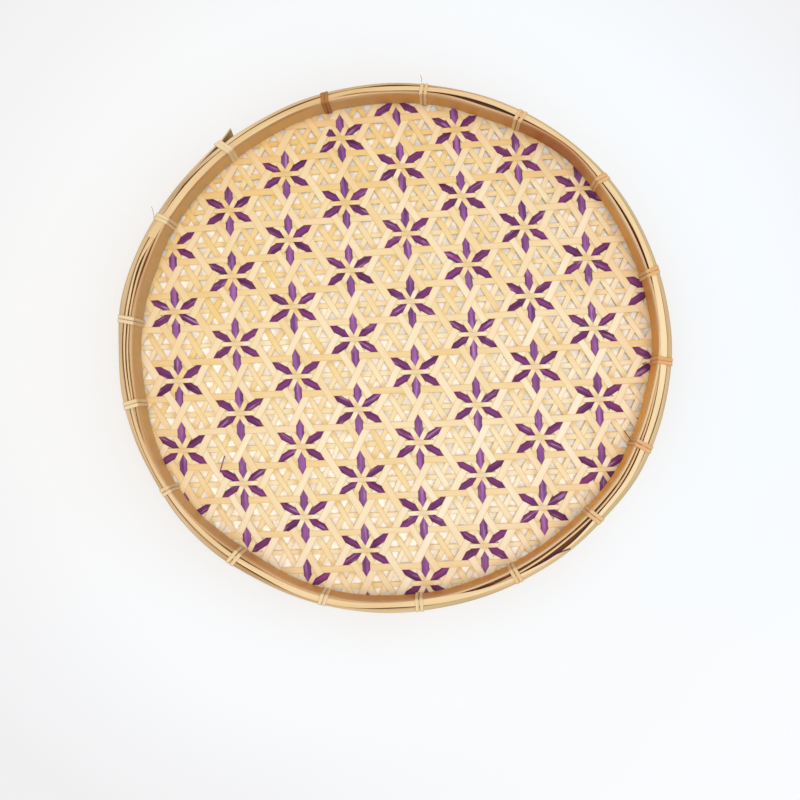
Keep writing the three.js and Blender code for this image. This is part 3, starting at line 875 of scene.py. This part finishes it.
def strip_section(wall, low, high, roundings, rows=STRIP_ROWS):
    """A strip's section as (depth, height): up the outer face, over the top, down the inner face."""
    rounding, inner_rounding = roundings
    shoulder, inner_shoulder = high - rounding, high - inner_rounding
    corner, inner_corner = rounding * ROUND_MIDDLE, inner_rounding * ROUND_MIDDLE
    outer = [(0, low + (shoulder - low) * n / rows) for n in range(rows + 1)]
    top = [(corner, high - corner), (rounding, high), (wall - inner_rounding, high),
           (wall - inner_corner, high - inner_corner)]
    inner = [(wall, inner_shoulder - (inner_shoulder - low) * n / rows) for n in range(rows + 1)]
    return outer + top + inner


# The rows of faces that show the cut edge: those over the top, and the first one down the inner face.
STRIP_CUT_ROWS = range(STRIP_ROWS, STRIP_ROWS + TOP_ROWS + 1)


def lap_stand(passed):
    """How far the outer hoop's outer end stands off, by the turn passed from the tie that holds it."""
    return TAIL_LEAN * math.exp(-passed / TAIL_REACH) if passed < LAP_LENGTH else 0.0


def make_outer_hoop(sizes, materials):
    """The outer hoop: one strip with lapped ends, whose outer end stands off as a tail."""
    section = strip_section(sizes.outer_wall, HOOP_BOTTOM, RIM_TOP, OUTER_ROUNDING)
    total = TAIL_TURN + FULL_TURN + LAP_LENGTH
    height = RIM_TOP - HOOP_BOTTOM

    def passed_at(share):
        return share * total - TAIL_TURN

    def place(share, point):
        depth, level = point
        rise = (level - HOOP_BOTTOM) / height
        passed = passed_at(share)
        passed -= TAIL_SLANT * rise * max(0.0, -passed / TAIL_TURN)
        turn = LAP_TURN + passed
        edge, line = rim("edge", turn), rim("line", turn)
        wall = line - edge
        lapped = passed - FULL_TURN
        if passed < LAP_LENGTH:
            edge -= lap_stand(passed) + TAIL_FLARE * rise * max(0.0, -passed / TAIL_TURN)
            wall = blend(LAP_WALL, wall, ease(passed / LAP_LENGTH))
        elif lapped > -TAIL_TURN:
            edge += LAP_TUCK[0] * ease(lapped / TAIL_TURN + 1) + LAP_TUCK[1] * ease(lapped / LAP_LENGTH)
            wall = (line - edge) * (1 - LAP_THINNING * ease(lapped / LAP_LENGTH))
        swell = OUTER_SWELL * math.sin(math.pi * rise)
        level += rise * ripple(turn, OUTER_WAVE)
        return oval(edge + depth / sizes.outer_wall * wall - swell, turn) + UP * level

    # The tail takes painted light from its tone and its shade layer, as its face lies in shadow; elsewhere
    # the shade layer follows the skin's stains.
    def tone(share):
        passed = passed_at(share)
        return TAIL_PAINTED_LIGHT_TONE if passed < 0 else OUTER_TONE - patch_depth(LAP_TURN + passed, OUTER_DULL)

    def shade(share, step):
        passed = passed_at(share)
        return 1.0 if passed < 0 else patch_depth(LAP_TURN + passed, OUTER_STAINS)

    bm = new_mesh()
    sweep(bm, HOOP_STEPS, section, place, total * HALF_WIDTH, HOOP_ROW, tone, STRIP_CUT_ROWS, shade)
    make_piece("bent_outer_hoop", bm, materials, ["outer_hoop"])


def cap_tone(turn):
    """The cap's tone at a place on the rim: painted paler on its lit side, and dulled where it is stained."""
    return painted_light_tone(turn, *CAP_TONE) - patch_depth(turn, CAP_STAINS)


def make_fillers(sizes, materials):
    """The strips between the hoops: a thin filler all round, and a flat cap with a squared end over it."""
    bm = new_mesh()
    filler_section = strip_section(sizes.filler_wall, MAT_TOP, FILLER_TOP, FILLER_ROUNDING)

    def place_filler(share, point):
        turn = share * FULL_TURN
        level = point[1]
        if level > MAT_TOP:
            level += ripple(turn, FILLER_WAVE)
        return oval(rim("filler", turn) + point[0], turn) + UP * level

    sweep(bm, HOOP_STEPS, filler_section, place_filler, FULL_TURN * HALF_WIDTH, FILLER_ROW, FILLER_TONE,
          STRIP_CUT_ROWS)
    cap_section = strip_section(sizes.cap_width, CAP_BOTTOM, CAP_TOP, FILLER_ROUNDING, CAP_ROWS)

    def place_cap(share, point):
        passed = share * CAP_SWEEP
        turn = CAP_START - passed
        at_end = 1 - ease(passed / CAP_END_REACH)
        outer = blend(rim("cap_out", turn), CAP_END[0], at_end)
        inner = blend(rim("cap_in", turn), CAP_END[1], at_end) + ripple(turn, CAP_EDGE_WAVE)
        sunk = CAP_SINK * ease(1 - (CAP_SWEEP - passed) / CAP_SINK_REACH)
        level = point[1] - sunk + ripple(turn, CAP_TOP_WAVE)
        return oval(blend(outer, inner, point[0] / sizes.cap_width), turn) + UP * level

    sweep(bm, HOOP_STEPS, cap_section, place_cap, CAP_SWEEP * HALF_WIDTH, CAP_ROW,
          lambda share: cap_tone(CAP_START - share * CAP_SWEEP), range(len(cap_section)))
    make_piece("filler_strips", bm, materials, ["filler_splint"])


def make_bed(sizes, material):
    """The splints' ends packed between the hoops, seen down the gaps of the rim and coloured dark as painted
    shade.
    """
    section = strip_section(BED_LAP, BED_BOTTOM, BED_TOP, BED_ROUNDING)

    def place(share, point):
        turn = share * FULL_TURN
        outer = rim("line", turn) - BED_LAP / 2
        inner = rim("inner", turn) - sizes.inner_wall + BED_LAP / 2
        inward = point[0] / BED_LAP
        return oval(blend(outer, inner, inward), turn) + UP * (point[1] - BED_SLOPE * inward)

    bm = new_mesh()
    sweep(bm, HOOP_STEPS, section, place, FULL_TURN * HALF_WIDTH, BED_ROW, BED_PAINTED_SHADE_TONE)
    make_piece("packed_ends_painted_shade", bm, [material], ["turned_up_edge"])


def make_inner_hoop(sizes, materials):
    """The inner hoop: a wide thin band along the rim's inner line, on a ragged lower edge."""
    section = strip_section(sizes.inner_wall, MAT_TOP, INNER_HOOP_TOP, INNER_ROUNDING)
    height = INNER_HOOP_TOP - MAT_TOP

    def place(share, point):
        depth, level = point
        turn = share * FULL_TURN
        rise = (level - MAT_TOP) / height
        ragged = max(0.0, ripple(turn, RAGGED_WAVE) - RAGGED_LEAST)
        level += (1 - rise) * ragged + rise * ripple(turn, INNER_WAVE)
        return oval(rim("inner", turn) - sizes.inner_wall + depth, turn) + UP * level

    bm = new_mesh()
    # The tone is painted light, highest on the rim's lit side.
    sweep(bm, HOOP_STEPS, section, place, FULL_TURN * HALF_WIDTH, HOOP_ROW,
          lambda share: painted_light_tone(share * FULL_TURN, *INNER_TONE), STRIP_CUT_ROWS,
          lambda share, step: patch_depth(share * FULL_TURN, INNER_RED_BROWN))
    make_piece("bent_inner_hoop", bm, materials, ["inner_hoop"])


def rounded(corners, radius, samples):
    """A path through corner points with each inner corner rounded off."""
    path = [corners[0]]
    for before, corner, after in zip(corners, corners[1:], corners[2:]):
        start = corner + (before - corner).normalized() * min(radius, (before - corner).length / 2)
        end = corner + (after - corner).normalized() * min(radius, (after - corner).length / 2)
        for step in range(samples + 1):
            share = step / samples
            path.append(start.lerp(corner, share).lerp(corner.lerp(end, share), share))
    return path + [corners[-1]]


def finer(path, step):
    """The same path with points no further apart than step."""
    points = [path[0]]
    for start, end in zip(path, path[1:]):
        count = max(1, math.ceil((end - start).length / step))
        points += [start.lerp(end, n / count) for n in range(1, count + 1)]
    return points


def flat_section(width, thickness):
    """A flat strip's cross-section with thin edges."""
    half, thick = width / 2, thickness / 2
    shoulder = half * FLAT_SHOULDER
    return [(-half, 0), (-shoulder, thick), (0, thick * FLAT_CROWN), (shoulder, thick),
            (half, 0), (shoulder, -thick), (0, -thick), (-shoulder, -thick)]


# How much of the edge colour, a painted shade, each point of that section takes.
FLAT_SHADES = (1.0, 0.1, 0.0, 0.1, 1.0, 0.5, 0.5, 0.5)


def sweep_path(bm, path, section, flat_way, row, tone):
    """Adds a flat strip along a path; flat_way is the direction that its width keeps to."""
    count = len(path) - 1
    length = sum((b - a).length for a, b in zip(path, path[1:]))

    def place(share, point):
        number = round(share * count)
        forward = (path[min(number + 1, count)] - path[max(number - 1, 0)]).normalized()
        side = (flat_way - forward * flat_way.dot(forward)).normalized()
        return path[number] + side * point[0] + side.cross(forward) * point[1]

    sweep(bm, count, section, place, length, row, tone, shade=lambda share, step: FLAT_SHADES[step])


def tie_path(look, edge, inner_edge, sizes):
    """Two turns round the rim as (outward, sideways, height) points, from the inside of the mat."""
    _, rim_gap, face_gap, slant, shift, _ = (value * MM for value in look)
    clear = TIE_CLEARANCE * sizes.tie_thickness
    inner, outer = -inner_edge - clear, -edge + TIE_OUTER_CLEARANCE * sizes.tie_thickness
    over, under = TIE_TOP - clear, clear
    stations = ((inner, MAT_MIDDLE, 0), (inner, over, 0), (outer, over, 0), (outer, under, 0),
                (inner, under, 1), (inner, over, 1), (outer, over, 1), (outer, under, 1),
                (outer - TIE_END, under, 1))
    corners = [Vector((x, z, turn * rim_gap)) for x, z, turn in stations]
    turns = []
    for x, z, run in finer(rounded(corners, TIE_CORNER, TIE_SAMPLES), TIE_STEP):
        inside = (outer - x) / (outer - inner)
        apart = blend(rim_gap, face_gap, inside * (1 - z / over))
        slanted = slant * (inside - 0.5) * blend(LEAST_SLANT, 1, z / over)
        side = (run / rim_gap - 0.5) * apart + slanted + shift
        turns.append(Vector((x, side, z)))
    return turns


def make_tie(number, node, look, sizes, material):
    """One tie: a flat strip taken twice round the rim."""
    turn = TIE_TURNS[number]
    out = outward(turn)
    along = Vector((-out.y, out.x, 0))
    foot = oval(0, turn)
    edge = rim("edge", turn)
    if number == LAP_TIE:
        edge -= lap_stand(0)
    course = tie_path(look, edge, rim("inner", turn), sizes)
    path = [foot + out * p.x + along * p.y + UP * p.z for p in course]
    bm = new_mesh()
    sweep_path(bm, path, flat_section(look[0] * MM, sizes.tie_thickness), along, number, 1 - look[-1])
    make_piece(f"bound_{node}", bm, [material], [node])


def make_loose(name, strips, thickness, material):
    """Loose ends and threads, each a thin strip along its own path."""
    bm = new_mesh()
    for row, (points, width) in enumerate(strips):
        turns = [math.radians(angle) + CAMERA_ROLL for angle, _, _ in points]
        corners = [oval(inset * MM, turn) + UP * (RIM_TOP + height * MM)
                   for turn, (_, inset, height) in zip(turns, points)]
        path = finer(rounded(corners, LOOSE_CORNER, LOOSE_SAMPLES), LOOSE_STEP)
        flat_way = outward(turns[0]) + UP * LOOSE_TILT
        sweep_path(bm, path, flat_section(width * MM, thickness), flat_way, row, LOOSE_TONE)
    make_piece(name, bm, [material])


class BASKET_OT_outer_hoop(bpy.types.Operator):
    """Bends the outer hoop, with its lap and its tail"""

    bl_idname = "basket.outer_hoop"
    bl_label = "Outer hoop"

    def execute(self, context):
        colours = context.scene.basket_colours
        # The face's shade colour is painted light on the tail, and pales the face along the skin's stains
        # elsewhere.
        face = bamboo("outer_hoop_skin", colours.hoop_dark, colours.hoop_light, repeats=(9, 700, 8, 60),
                      rough=(0.35, 0.5), gloss=0.4, shade_colour=colours.cut_light, shade_share=0.6)
        edge = bamboo("outer_hoop_edge", colours.edge_dark, colours.cut_light, EDGE_REPEATS, EDGE_SHARES,
                      shade_colour=colours.skin_stain, shade_share=0.8)
        make_outer_hoop(context.scene.basket_sizes, [face, edge])
        return {"FINISHED"}


class BASKET_OT_fillers(bpy.types.Operator):
    """Lays the filler and its flat cap between the hoops"""

    bl_idname = "basket.fillers"
    bl_label = "Filler strips"

    def execute(self, context):
        colours = context.scene.basket_colours
        face = bamboo("filler_face", colours.hoop_dark, colours.hoop_light, repeats=(12, 1200, 12, 80))
        edge = bamboo("filler_edge", colours.cut_dark, colours.cut_light, repeats=(14, 800, 14, 120),
                      shares=(0.45, 0.45, 0.35))
        make_fillers(context.scene.basket_sizes, [face, edge])
        # The packed ends take the gap colours, a painted shade.
        ends = bamboo("packed_ends_painted_shade", colours.gap_painted_shade_dark, colours.gap_painted_shade_light, repeats=(20, 500, 20, 200),
                      shares=(0.3, 0.5, 0.5))
        make_bed(context.scene.basket_sizes, ends)
        return {"FINISHED"}


class BASKET_OT_inner_hoop(bpy.types.Operator):
    """Bends the inner hoop"""

    bl_idname = "basket.inner_hoop"
    bl_label = "Inner hoop"

    def execute(self, context):
        colours = context.scene.basket_colours
        face = bamboo("inner_hoop_face", colours.inner_dark, colours.inner_light, repeats=(9, 160, 8, 40),
                      shares=(0.6, 0.3, 0.25), rough=(0.4, 0.55), shade_colour=colours.hoop_red_brown)
        edge = bamboo("inner_hoop_edge", colours.hoop_dark, colours.cut_light, EDGE_REPEATS, EDGE_SHARES,
                      shade_colour=colours.hoop_red_brown, shade_share=0.7)
        make_inner_hoop(context.scene.basket_sizes, [face, edge])
        return {"FINISHED"}


class BASKET_OT_wide_splints(bpy.types.Operator):
    """Weaves the wide pale splints in their three directions"""

    bl_idname = "basket.wide_splints"
    bl_label = "Wide splints"

    def execute(self, context):
        sizes, colours = context.scene.basket_sizes, context.scene.basket_colours
        material = bamboo("wide_splint", colours.wide_dark, colours.wide_light,
                          shade_colour=colours.wide_edge_painted_shade)
        kind = Kind(wide_lift, sizes.wide_sway, PLAIN_SHADES)
        for name, way in PLAIN_WAYS.items():
            lay_group(f"wide_splints_{name}", kind, way, WEAVE_PITCH / 2, sizes.wide_width * WIDE_SHARES[way],
                      WIDE_TONES[way], material, sizes, WIDE_SEED + way)
        return {"FINISHED"}


class BASKET_OT_fine_splints(bpy.types.Operator):
    """Weaves the fine straw splints in their three directions"""

    bl_idname = "basket.fine_splints"
    bl_label = "Fine splints"

    def execute(self, context):
        sizes, colours = context.scene.basket_sizes, context.scene.basket_colours
        material = bamboo("fine_splint", colours.fine_dark, colours.fine_light,
                          shade_colour=colours.fine_edge_painted_shade)
        kind = Kind(fine_lift, sizes.fine_sway, PLAIN_SHADES, STAR_BREADTH, STAR_TONE, CORE_PAINTED_SHADE,
                    UNDER_PAINTED_SHADOW)
        for name, way in PLAIN_WAYS.items():
            lay_group(f"fine_splints_{name}", kind, way, 0, sizes.fine_width * FINE_SHARES[way],
                      FINE_TONES[way], material, sizes, FINE_SEED + way)
        return {"FINISHED"}


def dyed_bamboo(name, dark, light, colours):
    return bamboo(name, dark, light, DYED_REPEATS, shares=(0.15, 1.0, 0.05), bump=0.4,
                  shade_colour=colours.dyed_edge_painted_shade, fleck=colours.dyed_fleck_and_highlight)


class BASKET_OT_dyed_splints(bpy.types.Operator):
    """Weaves the purple splints that make the flowers"""

    bl_idname = "basket.dyed_splints"
    bl_label = "Dyed splints"

    def execute(self, context):
        sizes, colours = context.scene.basket_sizes, context.scene.basket_colours
        # The upright splints' lighter colours are a painted sheen.
        upright = dyed_bamboo("upright_dyed_splint_painted_sheen", colours.upright_dark, colours.upright_light, colours)
        slanted = dyed_bamboo("slanted_dyed_splint", colours.slanted_dark, colours.slanted_light, colours)
        kind = Kind(dyed_lift, sizes.wide_sway, DYED_SHADES, short_ends=True)
        for name, way in DYED_WAYS.items():
            rng = random.Random(DYED_SEED + way)
            across = leftward(way)
            material = upright if name == "upright" else slanted
            for row, node in enumerate(nodes_of(f"dyed_splint_{name}_")):
                nearest = round((node_middle(node).xy - FLOWER).dot(across) / DYED_STEP)
                line = FLOWER.dot(across) + nearest * DYED_STEP
                bm = new_mesh()
                width = sizes.dyed_width * DYED_SHARES[way] * rng.uniform(*DYED_WIDTHS)
                lay_splint(bm, kind, way, line, width, sizes, rng, rng.random(), row)
                make_piece(f"woven_{node}", bm, [material], [node])
        make_loose("loose_dyed_ends", LOOSE_DYED_ENDS, sizes.splint_thickness, slanted)
        return {"FINISHED"}


class BASKET_OT_ties(bpy.types.Operator):
    """Takes each tie twice round the rim"""

    bl_idname = "basket.ties"
    bl_label = "Ties"

    def execute(self, context):
        sizes, colours = context.scene.basket_sizes, context.scene.basket_colours
        if len(TIE_LOOKS) != len(TIE_NODES):
            raise RuntimeError("there isn't one look for each tie")
        # The ties' edges take painted shade; the brown tie's comes from its own dark colour.
        material = bamboo("tie_strip", colours.tie_dark, colours.tie_light, TIE_REPEATS,
                          shares=(0.65, 0.3, 0.25), shade_colour=colours.tie_edge_painted_shade, shade_share=0.6)
        brown = bamboo("brown_tie_strip", colours.brown_tie_dark, colours.brown_tie_light, TIE_REPEATS,
                       shade_colour=colours.brown_tie_dark, shade_share=0.8)
        for number, node in enumerate(TIE_NODES):
            make_tie(number, node, TIE_LOOKS[number], sizes, brown if number == BROWN_TIE else material)
        fibre = bamboo("loose_fibre", colours.fibre, colours.tie_dark)
        make_loose("loose_fibres", LOOSE_FIBRES, sizes.splint_thickness, fibre)
        return {"FINISHED"}


def towards(tree, spot, way):
    """How far a spot lies in a direction."""
    node = add_node(tree, "ShaderNodeVectorMath", operation="DOT_PRODUCT")
    node.inputs[1].default_value = way
    link(tree, spot, node.inputs[0])
    return node.outputs["Value"]


def pale_paint(colour, behind):
    """The surface behind the basket, brighter to the camera than it reflects, so that shadows stay light."""
    paint = bpy.data.materials.new("pale_surface")
    paint.use_nodes = True
    tree = paint.node_tree
    shader = tree.nodes["Principled BSDF"]
    shader.inputs["Roughness"].default_value = SURFACE_ROUGHNESS
    shader.inputs["Specular IOR Level"].default_value = SURFACE_GLOSS
    spot = add_node(tree, "ShaderNodeTexCoord").outputs["Object"]
    shares = add_node(tree, "ShaderNodeVectorMath", operation="MULTIPLY")
    shares.inputs[1].default_value = (1 / HALF_WIDTH, 1 / HALF_HEIGHT, 0)
    link(tree, spot, shares.inputs[0])
    reach = add_node(tree, "ShaderNodeVectorMath", operation="LENGTH")
    link(tree, shares.outputs[0], reach.inputs[0])
    parts = add_node(tree, "ShaderNodeSeparateXYZ")
    link(tree, shares.outputs[0], parts.inputs[0])
    # Beside the basket: a painted shadow at the left, painted light below, and painted shade in all far
    # corners but one.
    beside = mixed(tree, spread(tree, parts.outputs[0], *ACROSS_RANGE), *LIFT_BESIDE_PAINTED_SHADOW)
    beside = mixed(tree, spread(tree, parts.outputs[1], *BELOW_RANGE), beside, LIFT_BELOW_PAINTED_LIGHT)
    elsewhere = spread(tree, towards(tree, shares.outputs[0], LOWER_RIGHT), *LOWER_RIGHT_RANGE)
    far = add_node(tree, "ShaderNodeMath", operation="MULTIPLY")
    link(tree, spread(tree, reach.outputs["Value"], *FAR_RANGE), far.inputs[0])
    link(tree, elsewhere, far.inputs[1])
    beside = mixed(tree, far.outputs[0], beside, LIFT_FAR_PAINTED_SHADE)
    # Through the openings: painted shade under the weave, deepest towards the upper right, with patches of
    # painted light.
    to_right = spread(tree, towards(tree, shares.outputs[0], UPPER_RIGHT), *UPPER_RIGHT_RANGE)
    patches = add_node(tree, "ShaderNodeTexNoise")
    patches.inputs["Scale"].default_value = PATCH_RATE
    link(tree, spot, patches.inputs["Vector"])
    in_light_patch = spread(tree, patches.outputs[0], *PATCH_RANGE)
    through = mixed(tree, in_light_patch, mixed(tree, to_right, *LIFT_THROUGH_PAINTED_SHADE), mixed(tree, to_right, *LIFT_PAINTED_LIGHT_PATCH))
    outside = spread(tree, reach.outputs["Value"], *OPEN_RANGE)
    link(tree, mixed(tree, outside, behind, colour), shader.inputs["Base Color"])
    link(tree, mixed(tree, outside, through, beside), shader.inputs["Emission Color"])
    rays = add_node(tree, "ShaderNodeLightPath")
    link(tree, rays.outputs["Is Camera Ray"], shader.inputs["Emission Strength"])
    return paint


class BASKET_OT_stage(bpy.types.Operator):
    """Sets the pale surface behind the basket, the light and the camera"""

    bl_idname = "basket.stage"
    bl_label = "Stage"

    def execute(self, context):
        scene = context.scene
        bm = bmesh.new()
        bmesh.ops.create_grid(bm, x_segments=1, y_segments=1, size=SURFACE_SIZE)
        mesh = bpy.data.meshes.new("pale_surface")
        bm.to_mesh(mesh)
        bm.free()
        mesh.materials.append(pale_paint(scene.basket_colours.floor, scene.basket_colours.floor_behind_painted_bounce))
        surface = bpy.data.objects.new("pale_surface", mesh)
        scene.collection.objects.link(surface)
        surface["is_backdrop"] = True

        scene.world = bpy.data.worlds.new("soft_room")
        scene.world.use_nodes = True
        room = scene.world.node_tree
        sky = room.nodes["Background"]
        sky.inputs["Color"].default_value = WHITE
        seen = add_node(room, "ShaderNodeLightPath").outputs["Is Camera Ray"]
        link(room, spread(room, seen, 0, 1, SKY_STRENGTH, SKY_SEEN), sky.inputs["Strength"])
        lamp = bpy.data.lights.new("window_light", "SUN")
        lamp.energy = SUN_STRENGTH
        lamp.angle = SUN_ANGLE
        window = bpy.data.objects.new("window_light", lamp)
        window.rotation_euler = SUN_TURN
        scene.collection.objects.link(window)

        lens = bpy.data.cameras.new("photo_camera")
        lens.lens = CAMERA_LENS
        lens.shift_x, lens.shift_y = CAMERA_SHIFT
        camera = bpy.data.objects.new("photo_camera", lens)
        camera.location = (*CAMERA_FOOT, CAMERA_HEIGHT)
        camera.rotation_euler = (0, 0, CAMERA_ROLL)
        scene.collection.objects.link(camera)
        scene.camera = camera
        scene.view_settings.view_transform = "Standard"
        return {"FINISHED"}


OPERATORS = (
    BASKET_OT_wide_splints, BASKET_OT_fine_splints, BASKET_OT_dyed_splints, BASKET_OT_outer_hoop,
    BASKET_OT_fillers, BASKET_OT_inner_hoop, BASKET_OT_ties, BASKET_OT_stage,
)


class BASKET_PT_panel(bpy.types.Panel):
    """Lists the basket's steps, sizes and colours in the sidebar"""

    bl_idname = "BASKET_PT_panel"
    bl_label = "Hanging wall basket"
    bl_space_type = "VIEW_3D"
    bl_region_type = "UI"
    bl_category = "Basket"

    def draw(self, context):
        for operator in OPERATORS:
            self.layout.operator(operator.bl_idname)
        for group in (context.scene.basket_sizes, context.scene.basket_colours):
            for name in group.__annotations__:
                self.layout.prop(group, name)


CLASSES = (BasketSizes, BasketColours, *OPERATORS, BASKET_PT_panel)


def register():
    for cls in CLASSES:
        bpy.utils.register_class(cls)
    bpy.types.Scene.basket_sizes = bpy.props.PointerProperty(type=BasketSizes)
    bpy.types.Scene.basket_colours = bpy.props.PointerProperty(type=BasketColours)


def unregister():
    del bpy.types.Scene.basket_colours
    del bpy.types.Scene.basket_sizes
    for cls in reversed(CLASSES):
        bpy.utils.unregister_class(cls)


def main():
    register()
    for operator in OPERATORS:
        group, step = operator.bl_idname.split(".")
        getattr(getattr(bpy.ops, group), step)()
    boxes = {"cad": FRAME_BOX, "visual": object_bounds()}
    {name: [list(corner) for corner in box] for name, box in boxes.items()}


if __name__ == "__main__":
    main()
